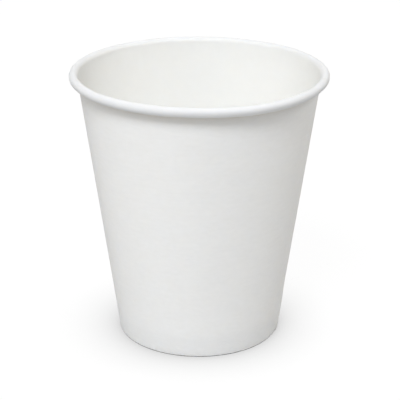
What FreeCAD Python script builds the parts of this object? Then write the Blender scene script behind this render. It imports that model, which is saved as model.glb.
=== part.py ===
import FreeCAD, Part
import Sketcher

import math
import os

# A single-wall paper coffee cup, in millimetres.
#
# The cup stands on the XY plane with its axis on Z and the origin in the middle of its foot.
# It is made of two pieces of coated board. The sidewall is one fan-shaped blank, wrapped into a
# cone: its ends lap at the side seam, its top edge is rolled outward into the rim, and its bottom
# edge is folded inward and up into a hem. The bottom disc has its edge turned down into a skirt,
# which the hem presses against the wall, so that the floor lies well above the foot.

Vector = FreeCAD.Vector

SIZES = [
    ("rim_diameter", 90.0, "across the rolled rim, the size that lids fit"),
    ("cup_height", 96.3, "from the foot to the top of the rim"),
    ("foot_diameter", 57.6, "outer face of the wall, carried down to the foot"),
    ("board_thickness", 0.33, "board of the sidewall"),
    ("roll_overhang", 2.6, "from the wall's outer face, carried up to the rim's top, to the rim's edge"),
    ("roll_height", 2.9, "rolled rim, from its top to its underside"),
    ("tuck_gap", 0.25, "level, between the roll and the wall that it curls back to"),
    ("tuck_clearance", 0.25, "between the tucked edge and the top of the roll above it"),
    ("tuck_turn", 75.0, "degrees that the tucked edge runs on inside the roll"),
    ("lap_width", 7.0, "side seam, from the inner cut edge to the outer one"),
    ("jog_width", 2.5, "stretch beside the seam where the board steps over its inner end"),
    ("seam_angle", 13.5, "degrees from the X axis to the seam's inner cut edge"),
    ("floor_height", 8.0, "from the foot to the underside of the floor"),
    ("floor_thickness", 0.28, "board of the bottom disc"),
    ("floor_bend_radius", 0.8, "inside of the bend between floor and skirt"),
    ("seal_gap", 0.03, "on each side of the skirt"),
    ("skirt_clearance", 0.32, "between the skirt's lower edge and the fold under the foot"),
    ("hem_clearance", 0.2, "between the hem's top edge and the start of the floor's bend"),
]

# Lengths that the sketches share, worked out from the sheet. The roll comes back to the wall where
# it is high enough for that, and its tucked edge then rises to the clearance under the roll's top.
FOOT_RADIUS = "(Sizes.foot_diameter / 2)"
TOP_RADIUS = "(Sizes.rim_diameter / 2 - Sizes.roll_overhang)"
WALL_SLOPE = "((" + TOP_RADIUS + " - " + FOOT_RADIUS + ") / Sizes.cup_height)"
HEM_HEIGHT = "(Sizes.floor_height - Sizes.floor_bend_radius - Sizes.hem_clearance)"
HEM_SPACE = "(Sizes.floor_thickness + 2 * Sizes.seal_gap)"
ROLL_RADIUS = "(Sizes.roll_height / 2)"
RISE_RADIUS = ("(((Sizes.roll_overhang - " + ROLL_RADIUS + ") * cos(atan(" + WALL_SLOPE
               + ")) + Sizes.board_thickness) / (1 - sin(atan(" + WALL_SLOPE + "))))")
CURL_SPACE = "(Sizes.roll_height - Sizes.board_thickness - Sizes.tuck_clearance)"
RETURN_RADIUS = ("min((Sizes.roll_overhang - " + ROLL_RADIUS + " + " + WALL_SLOPE
                 + " * Sizes.roll_height - Sizes.tuck_gap) / (1 + " + WALL_SLOPE + "); "
                 + CURL_SPACE + " / 2)")
TUCK_RADIUS = "(" + CURL_SPACE + " - " + RETURN_RADIUS + ")"

# How a sketch numbers the points of its elements, its origin and its axes.
START, END, CENTRE = range(1, 4)
X_AXIS, Z_AXIS = range(-1, -3, -1)
ORIGIN = (X_AXIS, START)


doc = FreeCAD.newDocument("paper_cup")


def make_sheet():
    """The driving dimensions, one row each: name, value and what it measures."""
    sheet = doc.addObject("Spreadsheet::Sheet", "Sizes")
    for row, (alias, value, note) in enumerate(SIZES, start=1):
        sheet.set("A%d" % row, alias)
        sheet.set("B%d" % row, str(value))
        sheet.set("C%d" % row, note)
        sheet.setAlias("B%d" % row, alias)
    doc.recompute()
    return sheet


sizes = make_sheet()


def value_of(expression):
    """The number that an expression on the sheet works out to."""
    return sizes.evalExpression(expression)


def drive(sketch, name, constraint, expression):
    """Adds a dimension to a sketch, names it and binds it to the sheet."""
    value = value_of(expression)
    if constraint[0] == "Angle":
        value = math.radians(value)
    index = sketch.addConstraint(Sketcher.Constraint(*constraint, value))
    sketch.renameConstraint(index, name)
    sketch.setExpression("Constraints." + name, expression)


def relate(sketch, *constraint):
    """Adds a relation that has no size."""
    sketch.addConstraint(Sketcher.Constraint(*constraint))


def upright_sketch(name, owner):
    """A sketch on the XZ plane, in the document or in a body."""
    if owner is doc:
        sketch = doc.addObject("Sketcher::SketchObject", name)
        sketch.Placement = FreeCAD.Placement(Vector(0, 0, 0), FreeCAD.Rotation(Vector(1, 0, 0), 90))
        return sketch
    sketch = owner.newObject("Sketcher::SketchObject", name)
    plane = next(feature for feature in owner.Origin.OriginFeatures if feature.Role == "XZ_Plane")
    sketch.AttachmentSupport = [(plane, "")]
    sketch.MapMode = "FlatFace"
    return sketch


def seam_sketch(name, height):
    """A level sketch whose X axis runs through the seam's inner cut edge."""
    sketch = doc.addObject("Sketcher::SketchObject", name)
    sketch.setExpression("Placement.Base.z", height)
    sketch.setExpression("Placement.Rotation.Angle", "-Sizes.seam_angle")
    return sketch


def add_wall_line(sketch):
    """The outer face of the cone from the foot to the rim's height, as a construction line."""
    foot = Vector(value_of(FOOT_RADIUS), 0, 0)
    top = Vector(value_of(TOP_RADIUS), sizes.cup_height, 0)
    line = sketch.addGeometry(Part.LineSegment(foot, top), True)
    relate(sketch, "PointOnObject", line, START, X_AXIS)
    drive(sketch, "foot_radius", ("DistanceX", *ORIGIN, line, START), FOOT_RADIUS)
    drive(sketch, "top_radius", ("DistanceX", *ORIGIN, line, END), TOP_RADIUS)
    drive(sketch, "top_height", ("DistanceY", *ORIGIN, line, END), "Sizes.cup_height")
    return line


class BoardPath:
    """One face of a board in section: lines and arcs laid end to end, smooth save at corners."""

    def __init__(self, sketch, x, z, heading):
        self.sketch = sketch
        self.point = Vector(x, z, 0)
        self.heading = heading
        self.last = None
        self.relation = "Tangent"

    def join(self, piece, entry, leave):
        if self.last is not None:
            relate(self.sketch, self.relation, *self.last, piece, entry)
        self.last = (piece, leave)
        self.relation = "Tangent"

    def line(self, length):
        along = Vector(math.cos(self.heading), math.sin(self.heading), 0)
        far = self.point + along * length
        piece = self.sketch.addGeometry(Part.LineSegment(self.point, far))
        self.point = far
        self.join(piece, START, END)
        return piece

    def arc(self, radius, turn):
        """A bend by turn radians, to the left when positive."""
        left = Vector(-math.sin(self.heading), math.cos(self.heading), 0)
        spoke = left * math.copysign(radius, -turn)
        centre = self.point - spoke
        first = math.atan2(spoke.y, spoke.x)
        last = first + turn
        circle = Part.Circle(centre, Vector(0, 0, 1), radius)
        piece = self.sketch.addGeometry(Part.ArcOfCircle(circle, min(first, last), max(first, last)))
        self.point = centre + Vector(math.cos(last), math.sin(last), 0) * radius
        self.heading += turn
        if turn > 0:
            self.join(piece, START, END)
        else:
            self.join(piece, END, START)
        return piece

    def corner(self, turn=0):
        """The next piece joins by its end point alone, turned by turn radians."""
        self.heading += turn
        self.relation = "Coincident"


def make_wall_section():
    """The wall's board in section: hem, foot fold, wall, rolled rim and tucked edge."""
    sketch = upright_sketch("wall_section", doc)
    wall_line = add_wall_line(sketch)
    board = sizes.board_thickness
    slope = value_of(WALL_SLOPE)
    steepness = math.pi / 2 - math.atan(slope)
    rise = value_of(RISE_RADIUS)
    roll = value_of(ROLL_RADIUS)
    back = value_of(RETURN_RADIUS)
    tuck = value_of(TUCK_RADIUS)
    tuck_turn = math.radians(sizes.tuck_turn)
    hem_height = value_of(HEM_HEIGHT)
    space = value_of(HEM_SPACE)
    hem_radius = value_of(FOOT_RADIUS) + slope * hem_height - (board + space) / math.sin(steepness)
    hem_length = (hem_height - board) / math.sin(steepness)
    wall_height = sizes.cup_height - rise - rise * math.cos(steepness) - board
    down = steepness - math.pi

    # The coated face lies inside the cup and outside the roll. Its folds at the foot are sharp.
    coated = BoardPath(sketch, hem_radius, hem_height, down)
    hem = coated.line(hem_length)
    coated.corner(-down)
    land = coated.line(space / math.sin(steepness))
    coated.corner(steepness)
    wall = coated.line(wall_height / math.sin(steepness))
    roll_rise = coated.arc(rise, -steepness)
    roll_outside = coated.arc(roll, -math.pi)
    roll_return = coated.arc(back, -math.pi / 2)
    coated.corner()
    roll_tuck = coated.arc(tuck, -tuck_turn)

    # The plain face follows it, one board away.
    plain = BoardPath(sketch, hem_radius + board * math.sin(down),
                      hem_height - board * math.cos(down), down)
    plain_hem = plain.line(hem_length)
    inner_fold = plain.arc(board, -down)
    plain_land = plain.line(space / math.sin(steepness))
    outer_fold = plain.arc(board, steepness)
    plain_wall = plain.line(wall_height / math.sin(steepness))
    plain_rise = plain.arc(rise - board, -steepness)
    plain_outside = plain.arc(roll - board, -math.pi)
    plain_return = plain.arc(back - board, -math.pi / 2)
    plain.corner()
    plain_tuck = plain.arc(tuck - board, -tuck_turn)

    hem_edge = sketch.addGeometry(Part.LineSegment(
        Vector(hem_radius, hem_height, 0),
        Vector(hem_radius + board * math.sin(down), hem_height - board * math.cos(down), 0)))
    tuck_edge = sketch.addGeometry(Part.LineSegment(coated.point, plain.point))

    # Hem and foot.
    relate(sketch, "Parallel", hem, wall)
    relate(sketch, "Horizontal", land)
    drive(sketch, "hem_height", ("DistanceY", *ORIGIN, hem, START), HEM_HEIGHT)
    drive(sketch, "hem_space", ("Distance", hem, START, wall), HEM_SPACE)
    drive(sketch, "land_height", ("DistanceY", *ORIGIN, land, START), "Sizes.board_thickness")
    relate(sketch, "Coincident", inner_fold, CENTRE, land, START)
    relate(sketch, "Coincident", outer_fold, CENTRE, land, END)
    relate(sketch, "Parallel", plain_hem, hem)
    relate(sketch, "Horizontal", plain_land)
    relate(sketch, "Coincident", hem_edge, START, hem, START)
    relate(sketch, "Coincident", hem_edge, END, plain_hem, START)
    relate(sketch, "Perpendicular", hem_edge, hem)

    # Wall.
    relate(sketch, "Parallel", wall, wall_line)
    drive(sketch, "board", ("Distance", wall, START, wall_line), "Sizes.board_thickness")
    relate(sketch, "PointOnObject", plain_wall, START, wall_line)
    relate(sketch, "PointOnObject", plain_wall, END, wall_line)

    # Rolled rim: the roll starts level with its top, goes round its outside and comes back.
    relate(sketch, "Vertical", roll_rise, CENTRE, roll_rise, START)
    relate(sketch, "Vertical", roll_outside, CENTRE, roll_outside, START)
    relate(sketch, "Horizontal", roll_return, CENTRE, roll_return, START)
    relate(sketch, "Horizontal", roll_tuck, CENTRE, roll_tuck, END)
    drive(sketch, "rim_height", ("DistanceY", *ORIGIN, roll_rise, START), "Sizes.cup_height")
    drive(sketch, "roll_radius", ("Radius", roll_outside), ROLL_RADIUS)
    drive(sketch, "roll_centre", ("DistanceX", *ORIGIN, roll_outside, CENTRE),
          "Sizes.rim_diameter / 2 - " + ROLL_RADIUS)
    drive(sketch, "return_radius", ("Radius", roll_return), RETURN_RADIUS)
    drive(sketch, "tuck_radius", ("Radius", roll_tuck), TUCK_RADIUS)
    drive(sketch, "tuck_turn", ("Angle", roll_tuck), "Sizes.tuck_turn")
    relate(sketch, "Coincident", plain_rise, CENTRE, roll_rise, CENTRE)
    relate(sketch, "Coincident", plain_outside, CENTRE, roll_outside, CENTRE)
    relate(sketch, "Coincident", plain_return, CENTRE, roll_return, CENTRE)
    relate(sketch, "Horizontal", plain_return, CENTRE, plain_return, START)
    relate(sketch, "Coincident", plain_tuck, CENTRE, roll_tuck, CENTRE)
    relate(sketch, "Coincident", tuck_edge, START, roll_tuck, START)
    relate(sketch, "Coincident", tuck_edge, END, plain_tuck, START)
    relate(sketch, "PointOnObject", roll_tuck, CENTRE, tuck_edge)
    return sketch


def wall_radius(height):
    """Expression for the radius of the wall's outer face at a height."""
    return "(" + FOOT_RADIUS + " + " + WALL_SLOPE + " * (" + height + "))"


def polar(radius, angle):
    return Vector(radius * math.cos(angle), radius * math.sin(angle), 0)


def make_lap_section(name, height):
    """The end of the blank that lies on the wall's outer face, cut level at a height.

    From the seam's inner cut edge the board lies on the wall as far as its own cut edge. On the
    other side it slopes down to the wall, and the sketch carries it on to half a board's depth.
    """
    sketch = seam_sketch(name, height)
    face_radius = wall_radius(height)
    outside_radius = face_radius + " + Sizes.board_thickness"
    root_radius = face_radius + " - Sizes.board_thickness / 2"
    lap_angle = "Sizes.lap_width / " + face_radius + " * 180 / pi"
    slope_angle = "1.5 * Sizes.jog_width / " + face_radius + " * 180 / pi"
    outside = value_of(outside_radius)
    root = value_of(root_radius)
    lap = math.radians(value_of(lap_angle))
    slope_end = -math.radians(value_of(slope_angle))
    outer_circle = Part.Circle(Vector(0, 0, 0), Vector(0, 0, 1), outside)
    root_circle = Part.Circle(Vector(0, 0, 0), Vector(0, 0, 1), root)

    slope = sketch.addGeometry(Part.LineSegment(polar(root, slope_end), polar(outside, 0)))
    skin = sketch.addGeometry(Part.ArcOfCircle(outer_circle, 0, lap))
    cut_edge = sketch.addGeometry(Part.LineSegment(polar(outside, lap), polar(root, lap)))
    base = sketch.addGeometry(Part.ArcOfCircle(root_circle, slope_end, lap))

    relate(sketch, "Coincident", slope, END, skin, START)
    relate(sketch, "Coincident", skin, END, cut_edge, START)
    relate(sketch, "Coincident", cut_edge, END, base, END)
    relate(sketch, "Coincident", base, START, slope, START)
    relate(sketch, "Coincident", skin, CENTRE, *ORIGIN)
    relate(sketch, "Coincident", base, CENTRE, *ORIGIN)
    relate(sketch, "PointOnObject", skin, START, X_AXIS)
    relate(sketch, "PointOnObject", *ORIGIN, cut_edge)
    drive(sketch, "outside_radius", ("Radius", skin), outside_radius)
    drive(sketch, "root_radius", ("Radius", base), root_radius)
    drive(sketch, "lap_angle", ("Angle", skin), lap_angle)
    drive(sketch, "base_angle", ("Angle", base), lap_angle + " + " + slope_angle)
    return sketch


def make_step_section(name, height):
    """The wedge left free inside the seam, cut level at a height.

    It is one board deep at the inner cut edge and runs out to nothing over the jog. The sketch
    carries it on into the cup's inside, as far again.
    """
    sketch = seam_sketch(name, height)
    deep_radius = wall_radius(height)
    clear_radius = deep_radius + " - 2 * Sizes.board_thickness"
    reach = "2 * Sizes.jog_width"
    clear = value_of(clear_radius)
    deep_corner = polar(value_of(deep_radius), 0)
    clear_corner = polar(clear, 0)
    tip = polar(clear, -math.asin(value_of(reach) / clear))

    cut_edge = sketch.addGeometry(Part.LineSegment(clear_corner, deep_corner))
    slope = sketch.addGeometry(Part.LineSegment(deep_corner, tip))
    free_side = sketch.addGeometry(Part.LineSegment(tip, clear_corner))

    relate(sketch, "Coincident", cut_edge, END, slope, START)
    relate(sketch, "Coincident", slope, END, free_side, START)
    relate(sketch, "Coincident", free_side, END, cut_edge, START)
    relate(sketch, "PointOnObject", cut_edge, START, X_AXIS)
    relate(sketch, "PointOnObject", cut_edge, END, X_AXIS)
    drive(sketch, "deep_radius", ("Distance", *ORIGIN, cut_edge, END), deep_radius)
    drive(sketch, "clear_radius", ("Distance", *ORIGIN, cut_edge, START), clear_radius)
    drive(sketch, "tip_radius", ("Distance", *ORIGIN, slope, END), clear_radius)
    drive(sketch, "reach", ("DistanceY", slope, END, *ORIGIN), reach)
    return sketch


def make_loft(name, low, high):
    """A straight-sided solid between two level sections."""
    loft = doc.addObject("Part::Loft", name)
    loft.Sections = [low, high]
    loft.Solid = True
    loft.Ruled = True
    return loft


def make_sidewall():
    """The wrapped blank with its rolled rim, its hem and its lapped side seam."""
    cone = doc.addObject("Part::Revolution", "wall_cone")
    cone.Source = make_wall_section()
    cone.Axis = Vector(0, 0, 1)
    cone.Base = Vector(0, 0, 0)
    cone.Angle = 360
    cone.Solid = True

    foot_fold = "Sizes.board_thickness"
    inside_roll = "Sizes.cup_height - " + RISE_RADIUS
    lap = make_loft("seam_lap", make_lap_section("lap_low", foot_fold),
                    make_lap_section("lap_high", inside_roll))

    floor_top = "Sizes.floor_height + Sizes.floor_thickness"
    below_roll = "Sizes.cup_height - Sizes.roll_height"
    step = make_loft("seam_step", make_step_section("step_low", floor_top),
                     make_step_section("step_high", below_roll))

    lapped = doc.addObject("Part::Fuse", "lapped_wall")
    lapped.Base = cone
    lapped.Tool = lap
    sidewall = doc.addObject("Part::Cut", "sidewall")
    sidewall.Label = "sidewall"
    sidewall.Base = lapped
    sidewall.Tool = step
    return sidewall


def make_bottom_disc():
    """The floor with its down-turned skirt, which lies between the wall and the hem."""
    body = doc.addObject("PartDesign::Body", "bottom_disc")
    body.Label = "bottom_disc"
    sketch = upright_sketch("disc_section", body)
    wall_line = add_wall_line(sketch)
    board = sizes.floor_thickness
    underside_height = sizes.floor_height
    bend = sizes.floor_bend_radius
    slope = value_of(WALL_SLOPE)
    wall_inside = value_of(wall_radius("Sizes.floor_height")) - sizes.board_thickness
    floor_radius = wall_inside - sizes.seal_gap - board - bend
    skirt_foot = "Sizes.board_thickness + Sizes.skirt_clearance"
    skirt_height = underside_height - bend - value_of(skirt_foot)
    down = -math.pi / 2 - math.atan(slope)

    # The underside and the top side are each drawn from the axis outward and then down.
    lower = BoardPath(sketch, 0, underside_height, 0)
    underside = lower.line(floor_radius)
    inner_bend = lower.arc(bend, down)
    inner_skirt = lower.line(skirt_height)
    upper = BoardPath(sketch, 0, underside_height + board, 0)
    top_side = upper.line(floor_radius)
    outer_bend = upper.arc(bend + board, down)
    outer_skirt = upper.line(skirt_height)
    cut_edge = sketch.addGeometry(Part.LineSegment(lower.point, upper.point))
    axis = sketch.addGeometry(Part.LineSegment(Vector(0, underside_height, 0),
                                               Vector(0, underside_height + board, 0)))

    relate(sketch, "Coincident", inner_skirt, END, cut_edge, START)
    relate(sketch, "Coincident", outer_skirt, END, cut_edge, END)
    relate(sketch, "Coincident", underside, START, axis, START)
    relate(sketch, "Coincident", top_side, START, axis, END)
    relate(sketch, "PointOnObject", underside, START, Z_AXIS)
    relate(sketch, "Vertical", axis)
    relate(sketch, "Horizontal", underside)
    relate(sketch, "Horizontal", top_side)
    relate(sketch, "Parallel", outer_skirt, wall_line)
    relate(sketch, "Parallel", inner_skirt, wall_line)
    relate(sketch, "Perpendicular", cut_edge, outer_skirt)
    drive(sketch, "floor_height", ("DistanceY", *ORIGIN, underside, START), "Sizes.floor_height")
    drive(sketch, "floor_thickness", ("DistanceY", axis, START, axis, END), "Sizes.floor_thickness")
    drive(sketch, "inner_bend_radius", ("Radius", inner_bend), "Sizes.floor_bend_radius")
    drive(sketch, "outer_bend_radius", ("Radius", outer_bend),
          "Sizes.floor_bend_radius + Sizes.floor_thickness")
    drive(sketch, "wall_side", ("Distance", outer_skirt, START, wall_line),
          "Sizes.board_thickness + Sizes.seal_gap")
    drive(sketch, "skirt_thickness", ("Distance", inner_skirt, START, outer_skirt),
          "Sizes.floor_thickness")
    drive(sketch, "skirt_foot", ("DistanceY", *ORIGIN, outer_skirt, END), skirt_foot)

    turned = body.newObject("PartDesign::Revolution", "turned_disc")
    turned.Profile = sketch
    turned.ReferenceAxis = (sketch, ["V_Axis"])
    turned.Angle = 360
    return body


def check(parts):
    """Stops if any object failed or any piece is not one valid solid."""
    for item in doc.Objects:
        if "Invalid" in item.State or "Error" in item.State:
            raise RuntimeError("%s failed: %s" % (item.Name, item.State))
    for part in parts:
        shape = part.Shape
        if shape.isNull() or not shape.isValid() or len(shape.Solids) != 1:
            raise RuntimeError("%s is not one valid solid" % part.Label)


pieces = [make_sidewall(), make_bottom_disc()]
doc.recompute()
check(pieces)

os.makedirs("parts", exist_ok=True)
for piece in pieces:
    piece.Shape.exportStep("parts/%s.step" % piece.Label)
    print(piece.Label, "volume %.1f mm3" % piece.Shape.Volume)
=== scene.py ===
import math
import random

import bmesh
import bpy
from mathutils import Matrix, Vector


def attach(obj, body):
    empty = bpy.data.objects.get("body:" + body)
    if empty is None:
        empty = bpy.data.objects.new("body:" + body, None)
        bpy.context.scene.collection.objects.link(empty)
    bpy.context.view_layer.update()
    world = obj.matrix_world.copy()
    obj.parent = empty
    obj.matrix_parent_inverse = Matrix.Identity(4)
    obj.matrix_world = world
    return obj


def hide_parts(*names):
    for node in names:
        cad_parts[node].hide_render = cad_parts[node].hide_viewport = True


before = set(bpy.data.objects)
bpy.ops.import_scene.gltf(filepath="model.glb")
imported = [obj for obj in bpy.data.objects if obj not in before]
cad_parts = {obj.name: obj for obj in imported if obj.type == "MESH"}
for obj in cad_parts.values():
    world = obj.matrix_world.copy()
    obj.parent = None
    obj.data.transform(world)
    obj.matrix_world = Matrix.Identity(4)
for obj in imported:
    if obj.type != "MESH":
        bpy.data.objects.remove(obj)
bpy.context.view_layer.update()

MM = 0.001

# Sizes in millimetres, as the CAD has them.
RIM_RADIUS = 45.0
CUP_HEIGHT = 96.3
FOOT_RADIUS = 28.8
BOARD = 0.33
ROLL_OVERHANG = 2.6
ROLL_RADIUS = 1.45
TUCK_GAP = 0.25
TUCK_CLEARANCE = 0.25
TUCK_TURN = math.radians(75.0)
LAP_WIDTH = 7.0
JOG_WIDTH = 2.5
SEAM_ANGLE = math.radians(-13.5)
HEM_HEIGHT = 7.0
HEM_SPACE = 0.34

SLOPE = (RIM_RADIUS - ROLL_OVERHANG - FOOT_RADIUS) / CUP_HEIGHT
LEAN = math.atan(SLOPE)
UP = math.pi / 2 - LEAN

# Steps of the mesh along each stretch of the board, and columns round the cup away from the seam.
HEM_STEPS = 8
FOLD_STEPS = 4
WALL_STEPS = 34
RISE_STEPS = 14
ROLL_STEPS = 13
BACK_STEPS = 12
TUCK_STEPS = 7
PLAIN_COLUMNS = 376

# Columns beside the seam, in millimetres of arc from the inner cut edge.
BEFORE_LAP = (-4.5, -3.5, -2.9, -2.5, -2.2, -1.8, -1.4, -1.0, -0.6, -0.3, -0.1, 0.0)
OVER_LAP = (0.0, 0.12, 0.6, 1.6, 2.8, 4.0, 5.2, 6.2, 6.75, 6.93)
AFTER_LAP = (7.2, 7.8, 8.8)
LAP_EDGE_HEIGHT = 0.82

# Where the relief of the seam begins above the foot, and the share of it that is lost on the roll.
FOOT_TOP = 0.02
FOOT_BLEND = 0.3
GROOVE_START = HEM_HEIGHT + 1.3
ROLL_UNDERSIDE = 93.5
ROLL_BLEND = 0.8
GROOVE_FADE = 0.92
LAP_FADE = 0.97

# The roll hangs a little below a true round and dips at the front right, and the doubled board at
# the seam lies a little flatter.
ROLL_SAG = 1.22
RIM_DIP = 0.30
RIM_DIP_ANGLE = math.radians(298.0)
RIM_DIP_WIDTH = math.radians(24.0)
SEAM_FLAT = 0.27
SEAM_FLAT_WIDTH = math.radians(17.0)
SEAM_FLAT_BLEND = 9.0

# Small waves of the roll and of the wall: the heights over which they set in, how far the wall's
# waves turn with height, the strength of the roll's pleats and the least share of a random height.
ROLL_WAVE_START = 86.0
ROLL_WAVE_BLEND = 7.0
WALL_WAVE_START = 9.0
WALL_WAVE_BLEND = 40.0
WALL_WAVE_TWIST = 0.004
PLEAT_SHARE = 0.4
SMALLEST_SHARE = 0.4

# The inner bends of the foot's fold, the radius that the flat sheet's lengths round the cup are
# measured at, and the height at which the wall turns into the roll.
FOLD_RADIUS = 0.1
MEAN_RADIUS = 36.0
ROLL_START = 94.9
SHARP_ANGLE = math.radians(38)
WELD_DISTANCE = 1e-7

# Order of the wall's materials.
COATED, OUTSIDE, CUT = range(3)

# Colours of the board. The tints multiply them: painted shade in the corner under the roll, and on the
# roll a painted shade that darkens and cools it against the strong light it takes.
OUTSIDE_LIGHT = (0.92, 0.915, 0.911, 1.0)
OUTSIDE_SHADE = (0.885, 0.88, 0.876, 1.0)
COATED_LIGHT = (0.908, 0.905, 0.888, 1.0)
COATED_SHADE = (0.893, 0.89, 0.873, 1.0)
CUT_LIGHT = (0.84, 0.81, 0.75, 1.0)
CUT_SHADE = (0.70, 0.67, 0.61, 1.0)
PAINTED_CREASE_SHADE = (0.55, 0.51, 0.44, 1.0)
PAINTED_ROLL_SHADE = (0.895, 0.898, 0.93, 1.0)

# The share of open sky at which the painted shade in the corner sets in, and at which it is full.
PAINTED_SHADE_OPEN = 0.97
PAINTED_SHADE_CLOSED = 0.45

# Lengths in the materials, in metres.
PAINTED_SHADE_REACH = 0.0045
ROLL_FADE = 0.0014
RIB_PITCH = 0.0017
RIB_MARGIN = 0.0004
RIB_FADE = 0.0008
RELIEF_DEPTH = 0.0001
SCATTER_DEPTH = 0.0006

# The floor as the camera sees it: a share that takes the lamps' shadows, and a white share that
# darkens softly where the cup closes off the sky near its foot.
FLOOR_HALF = 4.0
FLOOR_DROP = 0.00008
FLOOR_SHADE = 0.05
FLOOR_GLOW = 0.96
FLOOR_BOUNCE = 0.60
FLOOR_CLOUDS = 0.01
CONTACT_REACH = 0.035
CONTACT_DEPTH = 1.55
CONTACT_FALL = 2.4

# The camera, fitted to the outline of the rim and the foot.
CAMERA_PLACE = Vector((0.0, -0.48216, 0.2369))
CAMERA_PITCH = math.radians(21.377)
CAMERA_ROLL = math.radians(-0.136)
CAMERA_LENS = 130.29
SENSOR_WIDTH = 36.0
SHIFT_X = 0.002635
SHIFT_Y = -0.002392

# Lamps.
COOL = (0.96, 0.983, 1.0)
WARM = (1.0, 0.978, 0.93)
SKY_STRENGTH = 0.27
LAMP_TARGET = Vector((0.0, 0.0, 0.05))

random.seed(7)


def smooth(t):
    """An even rise from 0 to 1."""
    t = min(1.0, max(0.0, t))
    return t * t * (3 - 2 * t)


# Section of the board.

class Path:
    """The coated face of the board in section, as points with their directions."""

    def __init__(self, x, z, heading):
        self.x = x
        self.z = z
        self.heading = heading
        self.points = [(x, z, heading)]

    def line(self, length, count):
        """A straight run in count equal steps."""
        step = length / count
        for _ in range(count):
            self.x += math.cos(self.heading) * step
            self.z += math.sin(self.heading) * step
            self.points.append((self.x, self.z, self.heading))

    def arc(self, radius, turn, count):
        """A bend by turn radians, to the left when positive."""
        side = math.copysign(1.0, turn)
        cx = self.x - math.sin(self.heading) * radius * side
        cz = self.z + math.cos(self.heading) * radius * side
        for _ in range(count):
            self.heading += turn / count
            self.x = cx + math.sin(self.heading) * radius * side
            self.z = cz - math.cos(self.heading) * radius * side
            self.points.append((self.x, self.z, self.heading))

    def sag(self, first, stretch):
        """Stretches the points from first on downward, where they lie below the one before."""
        level = self.points[first - 1][1]
        for i in range(first, len(self.points)):
            x, z, heading = self.points[i]
            if z < level:
                self.points[i] = (x, level + (z - level) * stretch, heading)


def board_section():
    """The closed loop of the section: (x, z, normal x, normal z, side) from the coated face on."""
    rise = ((ROLL_OVERHANG - ROLL_RADIUS) * math.cos(LEAN) + BOARD) / (1 - math.sin(LEAN))
    space = 2 * ROLL_RADIUS - BOARD - TUCK_CLEARANCE
    reach = ROLL_OVERHANG - ROLL_RADIUS + SLOPE * 2 * ROLL_RADIUS - TUCK_GAP
    back = min(reach / (1 + SLOPE), space / 2)
    tuck = space - back
    hem_x = FOOT_RADIUS + SLOPE * HEM_HEIGHT - (BOARD + HEM_SPACE) / math.cos(LEAN)
    wall_top = CUP_HEIGHT - rise * (1 - math.sin(LEAN))

    path = Path(hem_x, HEM_HEIGHT, UP - math.pi)
    path.line((HEM_HEIGHT - BOARD) / math.cos(LEAN) - FOLD_RADIUS, HEM_STEPS)
    path.arc(FOLD_RADIUS, math.pi - UP, FOLD_STEPS)
    path.line(HEM_SPACE / math.cos(LEAN) - 2 * FOLD_RADIUS, 1)
    path.arc(FOLD_RADIUS, UP, FOLD_STEPS)
    path.line((wall_top - BOARD) / math.cos(LEAN) - FOLD_RADIUS, WALL_STEPS)
    path.arc(rise, -UP, RISE_STEPS)
    path.arc(ROLL_RADIUS, -math.pi / 2, ROLL_STEPS)
    widest = len(path.points)
    path.arc(ROLL_RADIUS, -math.pi / 2, ROLL_STEPS)
    path.arc(back, -math.pi / 2, BACK_STEPS)
    path.arc(tuck, -TUCK_TURN, TUCK_STEPS)
    path.sag(widest, ROLL_SAG)

    loop = []
    for x, z, heading in path.points:
        loop.append((x, z, math.sin(heading), -math.cos(heading), "coated"))
    for x, z, heading in reversed(path.points):
        nx, nz = math.sin(heading), -math.cos(heading)
        loop.append((x + nx * BOARD, z + nz * BOARD, nx, nz, "plain"))
    return loop


# Columns round the cup.

def seam_columns():
    """Columns beside the seam: (arc length, groove depth, lap thickness), the last two in boards."""
    columns = []
    for arc in BEFORE_LAP:
        ramp = min(1.0, max(0.0, (arc + JOG_WIDTH) / JOG_WIDTH))
        ramp = (smooth(ramp) + ramp) / 2
        columns.append((arc, ramp, ramp))
    for arc in OVER_LAP:
        columns.append((arc, 0.0, 1.0))
    columns.append((LAP_WIDTH, 0.0, LAP_EDGE_HEIGHT))
    columns.append((LAP_WIDTH, 0.0, 0.0))
    for arc in AFTER_LAP:
        columns.append((arc, 0.0, 0.0))
    return columns


def all_columns():
    """All columns: (arc length or None, share of the plain part, groove depth, lap thickness)."""
    plan = [(arc, None, groove, lap) for arc, groove, lap in seam_columns()]
    plan += [(None, (i + 1) / PLAIN_COLUMNS, 0.0, 0.0) for i in range(PLAIN_COLUMNS - 1)]
    return plan


def wave(angle, terms):
    """A smooth random curve round the cup."""
    return sum(height * math.sin(waves * angle + phase) for waves, height, phase in terms)


def random_terms(numbers, size):
    """Terms of a curve: (waves round the cup, height, phase)."""
    terms = []
    for waves in numbers:
        height = size * random.uniform(SMALLEST_SHARE, 1.0)
        terms.append((waves, height, random.uniform(0, 2 * math.pi)))
    return terms


ROLL_WAVES = random_terms((2, 3, 5, 8, 13, 21, 34), size=0.028)
ROLL_LIFT = random_terms((3, 4, 7, 11, 19, 29), size=0.020)
WALL_WAVES = random_terms((2, 3, 4, 7), size=0.03)
PLEATS = random_terms((31, 43, 59, 71), size=0.045)


# The sidewall.

def seam_push(z, side, groove, lap, in_roll):
    """How far the seam's relief stands out from the section at height z."""
    above_foot = smooth((z - FOOT_TOP) / FOOT_BLEND)
    if side == "plain":
        return BOARD * lap * (1 - LAP_FADE * in_roll) * above_foot
    if z < GROOVE_START:
        return 0.0
    return BOARD * groove * (1 - GROOVE_FADE * in_roll) * above_foot


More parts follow.
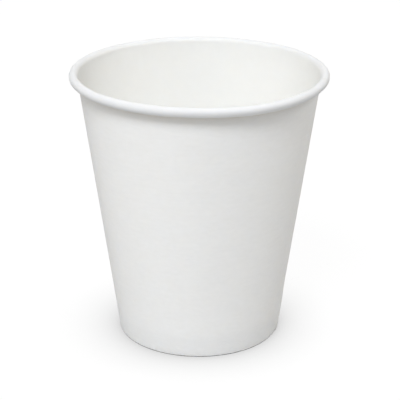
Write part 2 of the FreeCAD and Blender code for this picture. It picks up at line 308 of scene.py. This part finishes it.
def wall_point(turn, point, groove, lap):
    """A point of the section brought to its turn round the cup, with the seam and the waves."""
    x, z, nx, nz, side = point
    angle = SEAM_ANGLE + turn
    in_roll = smooth((z - ROLL_UNDERSIDE) / ROLL_BLEND)
    push = seam_push(z, side, groove, lap, in_roll)
    radius = x + nx * push
    height = z + nz * push

    share = smooth((z - ROLL_WAVE_START) / ROLL_WAVE_BLEND)
    radius += share * (wave(angle, ROLL_WAVES) + PLEAT_SHARE * wave(angle, PLEATS))
    dip = RIM_DIP * math.exp(-((angle - RIM_DIP_ANGLE) / RIM_DIP_WIDTH) ** 2)
    height += share * (wave(angle, ROLL_LIFT) - dip)

    if z > WALL_WAVE_START:
        above = z - WALL_WAVE_START
        radius += wave(angle + z * WALL_WAVE_TWIST, WALL_WAVES) * smooth(above / WALL_WAVE_BLEND)
        aside = (turn - LAP_WIDTH / 2 / x + math.pi) % (2 * math.pi) - math.pi
        flat = math.exp(-(aside / SEAM_FLAT_WIDTH) ** 2) * (1 - in_roll)
        radius -= SEAM_FLAT * flat * smooth(above / SEAM_FLAT_BLEND)
    return (radius * math.cos(angle) * MM, radius * math.sin(angle) * MM, height * MM)


def wall_points(loop, plan, lengths):
    """The points of all columns, and the place of each on the flat sheet."""
    first = BEFORE_LAP[0]
    last = AFTER_LAP[-1]
    verts = []
    uvs = []
    for arc, share, groove, lap in plan:
        for index, point in enumerate(loop):
            x = point[0]
            if arc is None:
                low = last / x
                high = 2 * math.pi + first / x
                turn = low + (high - low) * share
            else:
                turn = arc / x
            verts.append(wall_point(turn, point, groove, lap))
            uvs.append(((SEAM_ANGLE + turn) * MEAN_RADIUS * MM, lengths[index] * MM))
    return verts, uvs


def wall_faces(rows, plan):
    """The faces between the columns, and the material of each."""
    count = len(plan)
    half = rows // 2
    faces = []
    marks = []
    for column in range(count):
        following = (column + 1) % count
        start = column * rows
        end = following * rows
        cut = plan[column][0] is not None and plan[column][0] == plan[following][0]
        for row in range(rows):
            above = (row + 1) % rows
            faces.append((start + row, start + above, end + above, end + row))
            if row in (half - 1, rows - 1) or cut:
                marks.append(CUT)
            elif row < half:
                marks.append(COATED)
            else:
                marks.append(OUTSIDE)
    return faces, marks


def build_sidewall():
    """The wall's mesh, and how far along the sheet the hem's outer face and the roll start."""
    loop = board_section()
    plan = all_columns()
    lengths = [0.0]
    for a, b in zip(loop, loop[1:]):
        lengths.append(lengths[-1] + math.hypot(b[0] - a[0], b[1] - a[1]))
    verts, uvs = wall_points(loop, plan, lengths)
    faces, marks = wall_faces(len(loop), plan)

    mesh = bpy.data.meshes.new("cup_wall")
    mesh.from_pydata(verts, [], faces)
    layer = mesh.uv_layers.new(name="board")
    for loop_index, corner in enumerate(mesh.loops):
        layer.data[loop_index].uv = uvs[corner.vertex_index]
    for polygon, mark in zip(mesh.polygons, marks):
        polygon.material_index = mark
        polygon.use_smooth = True
    wrap_uvs(mesh, layer)
    weld(mesh)
    mesh.set_sharp_from_angle(angle=SHARP_ANGLE)
    piece = bpy.data.objects.new("cup_wall", mesh)
    bpy.context.scene.collection.objects.link(piece)
    roll_length = next(length for length, point in zip(lengths, loop) if point[1] > ROLL_START)
    return piece, (lengths[-1] - HEM_HEIGHT) * MM, roll_length * MM


def weld(mesh):
    """Joins the points that lie on each other where a cut edge shows on one side only."""
    work = bmesh.new()
    work.from_mesh(mesh)
    bmesh.ops.remove_doubles(work, verts=work.verts, dist=WELD_DISTANCE)
    work.to_mesh(mesh)
    work.free()


def wrap_uvs(mesh, layer):
    """Puts the faces that close the circle at the end of the sheet, not across it."""
    span = 2 * math.pi * MEAN_RADIUS * MM
    for polygon in mesh.polygons:
        us = [layer.data[i].uv[0] for i in polygon.loop_indices]
        if max(us) - min(us) > span / 2:
            for i in polygon.loop_indices:
                if layer.data[i].uv[0] < max(us) - span / 2:
                    layer.data[i].uv[0] += span


# Materials.

class Nodes:
    """Short calls for building one material."""

    def __init__(self, name):
        self.material = bpy.data.materials.new(name)
        self.material.use_nodes = True
        self.tree = self.material.node_tree
        self.tree.nodes.clear()

    def add(self, kind, inputs=None, **settings):
        """A node with its settings. Each input is a value or another node's output."""
        node = self.tree.nodes.new(kind)
        for key, value in settings.items():
            setattr(node, key, value)
        for key, value in (inputs or {}).items():
            if isinstance(value, bpy.types.NodeSocket):
                self.tree.links.new(value, node.inputs[key])
            else:
                node.inputs[key].default_value = value
        return node

    def math(self, operation, a, b):
        return self.add("ShaderNodeMath", {0: a, 1: b}, operation=operation).outputs[0]

    def weighted(self, *pairs):
        """The sum of the values, each times its weight."""
        total = 0.0
        for value, weight in pairs:
            total = self.math("ADD", self.math("MULTIPLY", value, weight), total)
        return total

    def mix(self, factor, a, b, way):
        inputs = {0: factor, 6: a, 7: b}
        return self.add("ShaderNodeMix", inputs, data_type="RGBA", blend_type=way).outputs[2]

    def blend(self, factor, a, b):
        return self.mix(factor, a, b, "MIX")

    def tint(self, factor, a, b):
        return self.mix(factor, a, b, "MULTIPLY")

    def range(self, value, low, high, to_low=0.0, to_high=1.0):
        """The value brought from low to high over to to_low to to_high."""
        inputs = {0: value, 1: low, 2: high, 3: to_low, 4: to_high}
        return self.add("ShaderNodeMapRange", inputs).outputs[0]

    def noise(self, place, scale, detail):
        inputs = {"Vector": place, "Scale": scale, "Detail": detail, "Roughness": 0.6}
        return self.add("ShaderNodeTexNoise", inputs).outputs[0]

    def place(self, coordinates):
        return self.add("ShaderNodeTexCoord").outputs[coordinates]

    def stretched(self, place, stretch):
        """The same place with its second axis stretched."""
        return self.add("ShaderNodeMapping", {"Vector": place, "Scale": (1.0, stretch, 1.0)}).outputs[0]

    def axes(self, place):
        return self.add("ShaderNodeSeparateXYZ", {"Vector": place}).outputs

    def bump(self, height, strength):
        inputs = {"Height": height, "Strength": strength, "Distance": RELIEF_DEPTH}
        return self.add("ShaderNodeBump", inputs).outputs[0]

    def finish(self, shader):
        self.add("ShaderNodeOutputMaterial", {"Surface": shader})
        return self.material


def board_shader(nodes, colour, rough, relief, specular, grain):
    """The board's own shader: light scatters a little inside the sheet."""
    shader = nodes.add("ShaderNodeBsdfPrincipled", {
        "Base Color": colour,
        "Roughness": rough,
        "Normal": nodes.bump(relief, grain),
        "IOR": 1.45,
        "Specular IOR Level": specular,
        "Subsurface Weight": 0.5,
        "Subsurface Radius": (1.0, 0.94, 0.85),
        "Subsurface Scale": SCATTER_DEPTH,
    })
    return nodes.finish(shader.outputs[0])


def crease_shade_mask(nodes):
    """How far a point lies in the corner under the roll, from 0 to 1: the mask of the painted shade there.
    """
    open_sky = nodes.add("ShaderNodeAmbientOcclusion", {"Distance": PAINTED_SHADE_REACH},
                     samples=16, only_local=True).outputs["AO"]
    return nodes.range(open_sky, PAINTED_SHADE_OPEN, PAINTED_SHADE_CLOSED)


def outer_paper(name, light, shade, hem_start):
    """Plain face: cloudy fibres, faint streaks along the sheet, the ribs pressed into the hem, and painted
    shade in the corner under the roll.
    """
    nodes = Nodes(name)
    place = nodes.place("UV")
    cloud_place = nodes.stretched(place, stretch=1.9)
    streak_place = nodes.stretched(place, stretch=7.0)
    patches = nodes.noise(cloud_place, scale=95.0, detail=2.0)
    clouds = nodes.noise(cloud_place, scale=420.0, detail=4.0)
    streaks = nodes.noise(streak_place, scale=130.0, detail=3.0)
    tooth = nodes.noise(cloud_place, scale=2600.0, detail=2.0)
    tone = nodes.weighted((clouds, 0.5), (streaks, 0.25), (patches, 0.25))
    colour = nodes.blend(nodes.range(tone, low=0.36, high=0.64), shade, light)
    # Painted shade: the colour turns darker and browner in the corner under the roll, where the roll
    # shades the wall.
    colour = nodes.tint(crease_shade_mask(nodes), colour, PAINTED_CREASE_SHADE)

    axes = nodes.axes(place)
    ribs = nodes.math("SINE", nodes.math("MULTIPLY", axes["X"], 2 * math.pi / RIB_PITCH), 0.0)
    rib_start = hem_start + RIB_MARGIN
    in_hem = nodes.range(axes["Y"], rib_start, rib_start + RIB_FADE)
    ribs = nodes.math("MULTIPLY", ribs, in_hem)
    relief = nodes.weighted((clouds, 0.7), (tooth, 0.3), (ribs, 0.8))
    rough = nodes.range(clouds, low=0.3, high=0.7, to_low=0.77, to_high=0.87)
    return board_shader(nodes, colour, rough, relief, specular=0.5, grain=0.35)


def coated_paper(name, light, shade, coordinates, roll_start=None):
    """Film-coated face: smoother and a little glossier than the plain one, with painted shade on the roll
    that makes it darker and cooler there.
    """
    nodes = Nodes(name)
    place = nodes.place(coordinates)
    clouds = nodes.noise(place, scale=420.0, detail=4.0)
    patches = nodes.noise(place, scale=120.0, detail=2.0)
    tone = nodes.weighted((clouds, 0.6), (patches, 0.4))
    colour = nodes.blend(nodes.range(tone, low=0.32, high=0.68), shade, light)
    if roll_start is not None:
        # Painted shade: the roll's coated face is made darker and cooler than the same face inside,
        # against the strong light on the roll.
        in_roll = nodes.range(nodes.axes(place)["Y"], roll_start, roll_start + ROLL_FADE)
        colour = nodes.tint(in_roll, colour, PAINTED_ROLL_SHADE)
    rough = nodes.range(clouds, low=0.3, high=0.7, to_low=0.53, to_high=0.63)
    return board_shader(nodes, colour, rough, tone, specular=0.16, grain=0.1)


def cut_board(name):
    """The raw edge of the board, with its fibre layers."""
    nodes = Nodes(name)
    layers = nodes.add("ShaderNodeTexNoise", {
        "Vector": nodes.place("Object"),
        "Scale": 9000.0,
        "Detail": 3.0,
    }).outputs[0]
    shader = nodes.add("ShaderNodeBsdfPrincipled", {
        "Base Color": nodes.blend(layers, CUT_SHADE, CUT_LIGHT),
        "Roughness": 0.92,
        "Normal": nodes.bump(layers, strength=0.5),
    })
    return nodes.finish(shader.outputs[0])


def grey(level):
    """An even grey, as a colour."""
    return (level, level, level, 1.0)


def studio_floor(name):
    """White sweep: it takes the cup's shadow and is white to the camera away from it."""
    nodes = Nodes(name)
    inputs = {"Vector": nodes.place("Object"), "Scale": 2.0}
    clouds = nodes.add("ShaderNodeTexNoise", inputs).outputs[0]
    colour = nodes.blend(clouds, grey(FLOOR_BOUNCE - FLOOR_CLOUDS), grey(FLOOR_BOUNCE + FLOOR_CLOUDS))
    bounced = nodes.add("ShaderNodeBsdfDiffuse", {"Color": colour}).outputs[0]

    soft = nodes.add("ShaderNodeBsdfDiffuse", {"Color": grey(FLOOR_SHADE)}).outputs[0]
    inputs = {"Distance": CONTACT_REACH}
    open_sky = nodes.add("ShaderNodeAmbientOcclusion", inputs, samples=32).outputs["AO"]
    closed = nodes.math("POWER", nodes.math("SUBTRACT", 1.0, open_sky), CONTACT_FALL)
    glow_share = nodes.math("SUBTRACT", 1.0, nodes.math("MULTIPLY", closed, CONTACT_DEPTH))
    strength = nodes.math("MULTIPLY", glow_share, FLOOR_GLOW)
    glow = nodes.add("ShaderNodeEmission", {"Color": grey(1.0), "Strength": strength}).outputs[0]
    shown = nodes.add("ShaderNodeAddShader", {0: soft, 1: glow}).outputs[0]

    rays = nodes.add("ShaderNodeLightPath").outputs
    seen = nodes.math("MAXIMUM", rays["Is Camera Ray"], rays["Is Glossy Ray"])
    shader = nodes.add("ShaderNodeMixShader", {0: seen, 1: bounced, 2: shown})
    return nodes.finish(shader.outputs[0])


# Studio.

def add_floor():
    """The white floor under the foot, a hair below it."""
    sides = ((-1, -1), (1, -1), (1, 1), (-1, 1))
    corners = [(x * FLOOR_HALF, y * FLOOR_HALF, -FLOOR_DROP) for x, y in sides]
    mesh = bpy.data.meshes.new("studio_floor")
    mesh.from_pydata(corners, [], [(0, 1, 2, 3)])
    mesh.materials.append(studio_floor("studio_floor"))
    floor = bpy.data.objects.new("studio_floor", mesh)
    bpy.context.scene.collection.objects.link(floor)


def add_camera():
    """The photo's camera, with its lens and shift."""
    right = Vector((1.0, 0.0, 0.0))
    up = Vector((0.0, math.sin(CAMERA_PITCH), math.cos(CAMERA_PITCH)))
    ahead = Vector((0.0, math.cos(CAMERA_PITCH), -math.sin(CAMERA_PITCH)))
    x_axis = right * math.cos(CAMERA_ROLL) - up * math.sin(CAMERA_ROLL)
    y_axis = right * math.sin(CAMERA_ROLL) + up * math.cos(CAMERA_ROLL)
    data = bpy.data.cameras.new("camera")
    data.sensor_width = SENSOR_WIDTH
    data.lens = CAMERA_LENS
    data.shift_x = SHIFT_X
    data.shift_y = SHIFT_Y
    camera = bpy.data.objects.new("camera", data)
    matrix = Matrix((x_axis, y_axis, -ahead)).transposed().to_4x4()
    matrix.translation = CAMERA_PLACE
    camera.matrix_world = matrix
    bpy.context.scene.collection.objects.link(camera)
    bpy.context.scene.camera = camera


def add_world(strength):
    """Soft light from all sides, and a white background for the camera."""
    world = bpy.data.worlds.new("studio")
    world.use_nodes = True
    tree = world.node_tree
    tree.nodes.clear()
    light = tree.nodes.new("ShaderNodeBackground")
    light.inputs[0].default_value = (*WARM, 1.0)
    light.inputs[1].default_value = strength
    shown = tree.nodes.new("ShaderNodeBackground")
    shown.inputs[0].default_value = grey(1.0)
    shown.inputs[1].default_value = 1.0
    rays = tree.nodes.new("ShaderNodeLightPath")
    mix = tree.nodes.new("ShaderNodeMixShader")
    output = tree.nodes.new("ShaderNodeOutputWorld")
    tree.links.new(rays.outputs["Is Camera Ray"], mix.inputs[0])
    tree.links.new(light.outputs[0], mix.inputs[1])
    tree.links.new(shown.outputs[0], mix.inputs[2])
    tree.links.new(mix.outputs[0], output.inputs[0])
    bpy.context.scene.world = world


def add_soft_light(name, azimuth, elevation, distance, size, power, colour):
    """A soft box that faces the cup. Azimuth runs from the camera's side towards the right."""
    azimuth = math.radians(azimuth)
    elevation = math.radians(elevation)
    level = math.cos(elevation)
    place = Vector((math.sin(azimuth) * level, -math.cos(azimuth) * level, math.sin(elevation))) * distance
    data = bpy.data.lights.new(name, "AREA")
    data.shape = "RECTANGLE"
    data.size = size
    data.size_y = size
    data.energy = power
    data.color = colour
    light = bpy.data.objects.new(name, data)
    light.location = place
    light.rotation_euler = (LAMP_TARGET - place).to_track_quat("-Z", "Y").to_euler()
    bpy.context.scene.collection.objects.link(light)


# The cup.

def add_wall():
    """The wall with its three finishes, in the order COATED, OUTSIDE, CUT."""
    wall, hem_start, roll_start = build_sidewall()
    outside = outer_paper("board_outside", OUTSIDE_LIGHT, OUTSIDE_SHADE, hem_start)
    coated = coated_paper("board_coated", COATED_LIGHT, COATED_SHADE, "UV", roll_start)
    cut = cut_board("board_cut")
    for material in (coated, outside, cut):
        wall.data.materials.append(material)
    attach(wall, "root")
    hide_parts("sidewall")


def finish_disc():
    """Gives the CAD's own disc its coated board."""
    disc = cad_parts["bottom_disc"]
    disc_board = coated_paper("board_disc", COATED_LIGHT, COATED_SHADE, "Object")
    if disc.material_slots:
        for slot in disc.material_slots:
            slot.material = disc_board
    else:
        disc.data.materials.append(disc_board)


add_wall()
finish_disc()
add_floor()
add_camera()
add_world(SKY_STRENGTH)
add_soft_light("main_light", azimuth=-18, elevation=54, distance=3.0, size=0.86, power=69.4, colour=COOL)
add_soft_light("left_fill", azimuth=-80, elevation=30, distance=1.5, size=1.0, power=2.0, colour=WARM)
add_soft_light("right_fill", azimuth=96, elevation=46, distance=1.5, size=0.6, power=5.3, colour=WARM)
add_soft_light("back_fill", azimuth=180, elevation=40, distance=1.5, size=1.0, power=1.0, colour=WARM)
bpy.context.scene.view_settings.view_transform = "Standard"
